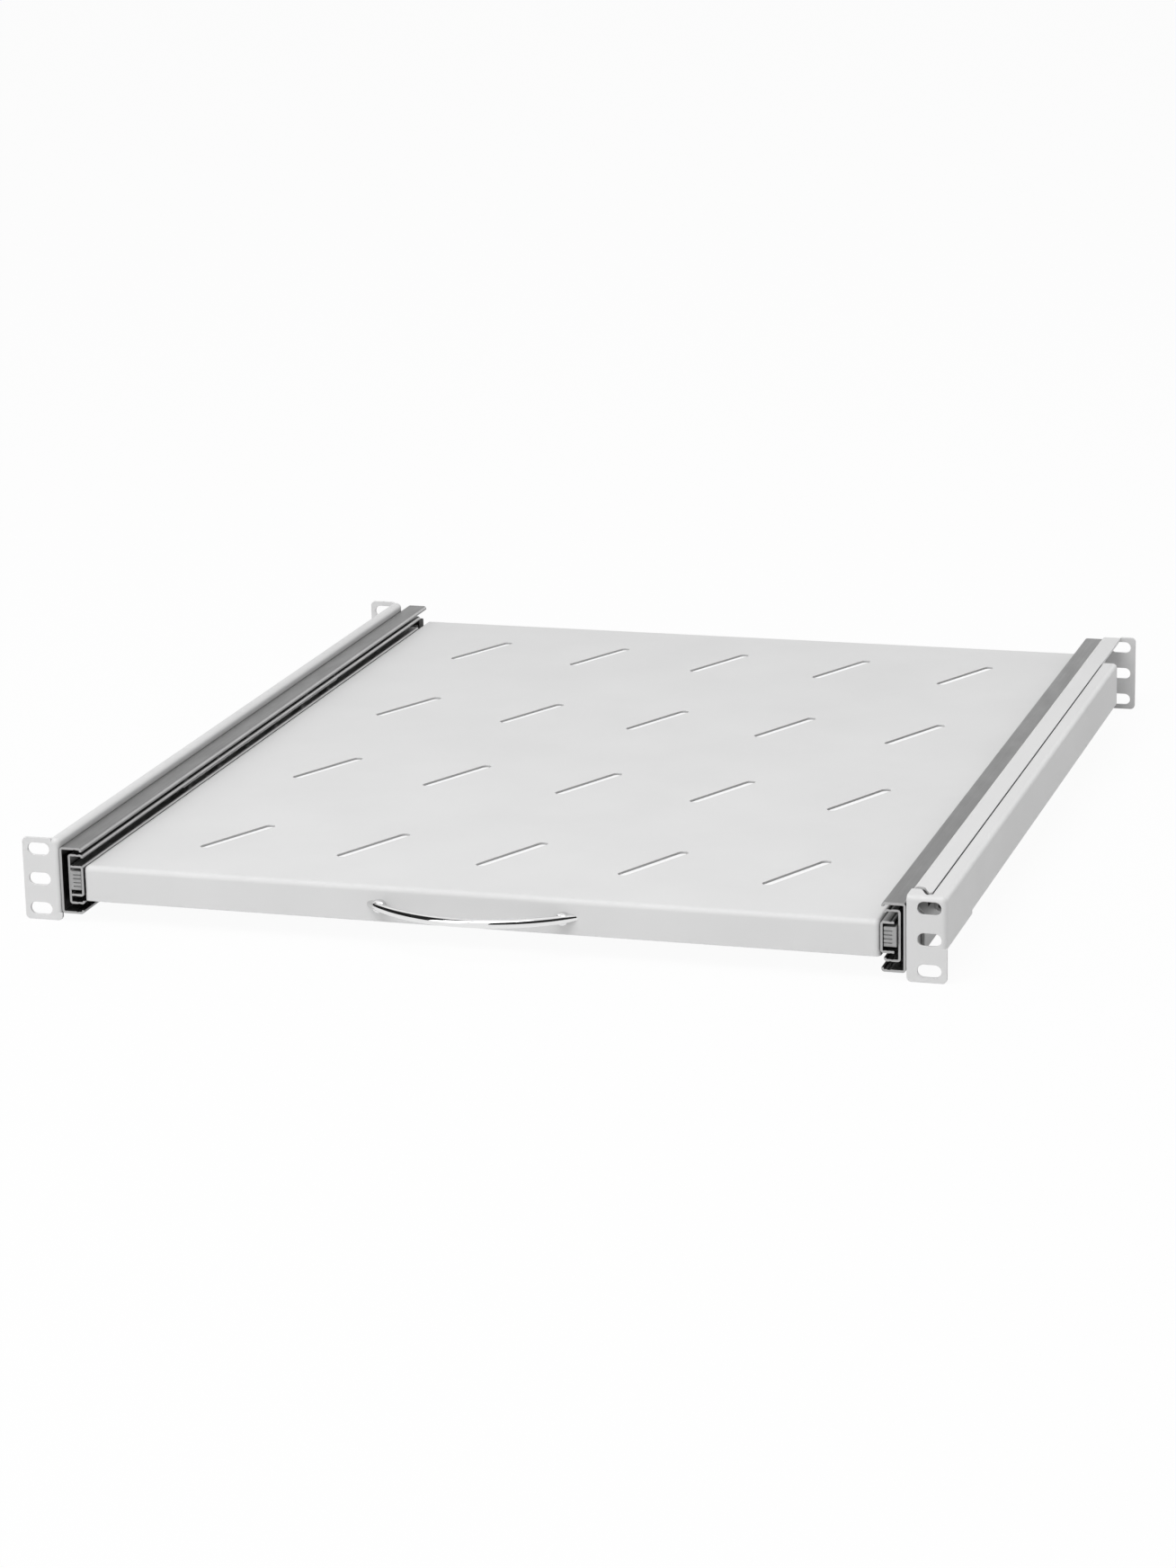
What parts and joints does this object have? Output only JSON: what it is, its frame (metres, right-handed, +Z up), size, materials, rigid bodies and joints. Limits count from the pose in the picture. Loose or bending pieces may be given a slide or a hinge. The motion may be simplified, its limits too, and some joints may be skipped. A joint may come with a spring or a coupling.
{
  "type": "sliding rack shelf",
  "caption": "Vented steel pull-out shelf for a 19-inch rack, on telescopic ball-bearing slides between depth-adjustable side brackets with slotted ears.",
  "frame": {"origin": "middle of the front ear plane, at the middle slot's height", "axes": "+X to the right seen from the front, +Y to the back of the rack, +Z up; the shelf pulls out along -Y"},
  "size_m": [0.4826, 0.572, 0.0436],
  "materials": {
    "light_grey_paint": "fine powder coat",
    "zinc_plated_steel": "rolled, zinc plated",
    "cage_steel": "stamped",
    "ball_steel": "polished",
    "fastener_zinc": "zinc plated",
    "handle_chrome": "polished chrome",
    "lever_plastic": "moulded",
    "bumper_rubber": "moulded"
  },
  "bodies": {
    "rails": {"left_front_bracket": "light_grey_paint", "left_slide_outer_member": "zinc_plated_steel", "left_slide_screws": "fastener_zinc", "left_slide_nuts": "fastener_zinc", "left_slide_rear_bumper": "bumper_rubber", "right_front_bracket": "light_grey_paint", "right_slide_outer_member": "zinc_plated_steel", "right_slide_screws": "fastener_zinc", "right_slide_nuts": "fastener_zinc", "right_slide_rear_bumper": "bumper_rubber"},
    "tray": {"tray": "light_grey_paint", "handle": "handle_chrome", "handle_screws": "fastener_zinc", "left_slide_inner_member": "zinc_plated_steel", "left_tray_side_screws": "fastener_zinc", "left_lever_pin": "fastener_zinc", "right_slide_inner_member": "zinc_plated_steel", "right_tray_side_screws": "fastener_zinc", "right_lever_pin": "fastener_zinc"},
    "left_intermediate": {"left_slide_intermediate_member": "zinc_plated_steel", "left_intermediate_bumper": "bumper_rubber"},
    "left_outer_cage": {"left_outer_ball_cage": "cage_steel", "left_outer_balls": "ball_steel"},
    "left_inner_cage": {"left_inner_ball_cage": "cage_steel", "left_inner_balls": "ball_steel"},
    "left_rear_mount": {"left_rear_bracket": "light_grey_paint"},
    "left_lever": {"left_release_lever": "lever_plastic"},
    "right_intermediate": {"right_slide_intermediate_member": "zinc_plated_steel", "right_intermediate_bumper": "bumper_rubber"},
    "right_outer_cage": {"right_outer_ball_cage": "cage_steel", "right_outer_balls": "ball_steel"},
    "right_inner_cage": {"right_inner_ball_cage": "cage_steel", "right_inner_balls": "ball_steel"},
    "right_rear_mount": {"right_rear_bracket": "light_grey_paint"},
    "right_lever": {"right_release_lever": "lever_plastic"}
  },
  "joints": [
    {"name": "tray_pull", "type": "slide", "parent": "rails", "child": "tray", "axis": [0, -1, 0], "range_m": [0, 0.55]},
    {"name": "left_intermediate_slide", "type": "slide", "parent": "rails", "child": "left_intermediate", "axis": [0, -1, 0], "range_m": [0, 0.275]},
    {"name": "left_outer_cage_roll", "type": "slide", "parent": "rails", "child": "left_outer_cage", "axis": [0, -1, 0], "range_m": [0, 0.1375]},
    {"name": "left_inner_cage_roll", "type": "slide", "parent": "rails", "child": "left_inner_cage", "axis": [0, -1, 0], "range_m": [0, 0.4125]},
    {"name": "left_depth_adjust", "type": "slide", "parent": "rails", "child": "left_rear_mount", "axis": [0, 1, 0], "range_m": [0, 0.08]},
    {"name": "left_lever_press", "type": "hinge", "parent": "tray", "child": "left_lever", "pos_m": [-0.2122, 0.04, 0], "axis": [1, 0, 0], "range_deg": [0, 2], "stiffness_Nm_per_rad": 0.05},
    {"name": "right_intermediate_slide", "type": "slide", "parent": "rails", "child": "right_intermediate", "axis": [0, -1, 0], "range_m": [0, 0.275]},
    {"name": "right_outer_cage_roll", "type": "slide", "parent": "rails", "child": "right_outer_cage", "axis": [0, -1, 0], "range_m": [0, 0.1375]},
    {"name": "right_inner_cage_roll", "type": "slide", "parent": "rails", "child": "right_inner_cage", "axis": [0, -1, 0], "range_m": [0, 0.4125]},
    {"name": "right_depth_adjust", "type": "slide", "parent": "rails", "child": "right_rear_mount", "axis": [0, 1, 0], "range_m": [0, 0.08]},
    {"name": "right_lever_press", "type": "hinge", "parent": "tray", "child": "right_lever", "pos_m": [0.2122, 0.04, 0], "axis": [1, 0, 0], "range_deg": [0, 2], "stiffness_Nm_per_rad": 0.05}
  ],
  "couplings": [
    {"joint": "left_intermediate_slide", "follows": "tray_pull", "ratio": 0.5},
    {"joint": "left_outer_cage_roll", "follows": "tray_pull", "ratio": 0.25},
    {"joint": "left_inner_cage_roll", "follows": "tray_pull", "ratio": 0.75},
    {"joint": "right_intermediate_slide", "follows": "tray_pull", "ratio": 0.5},
    {"joint": "right_outer_cage_roll", "follows": "tray_pull", "ratio": 0.25},
    {"joint": "right_inner_cage_roll", "follows": "tray_pull", "ratio": 0.75}
  ]
}
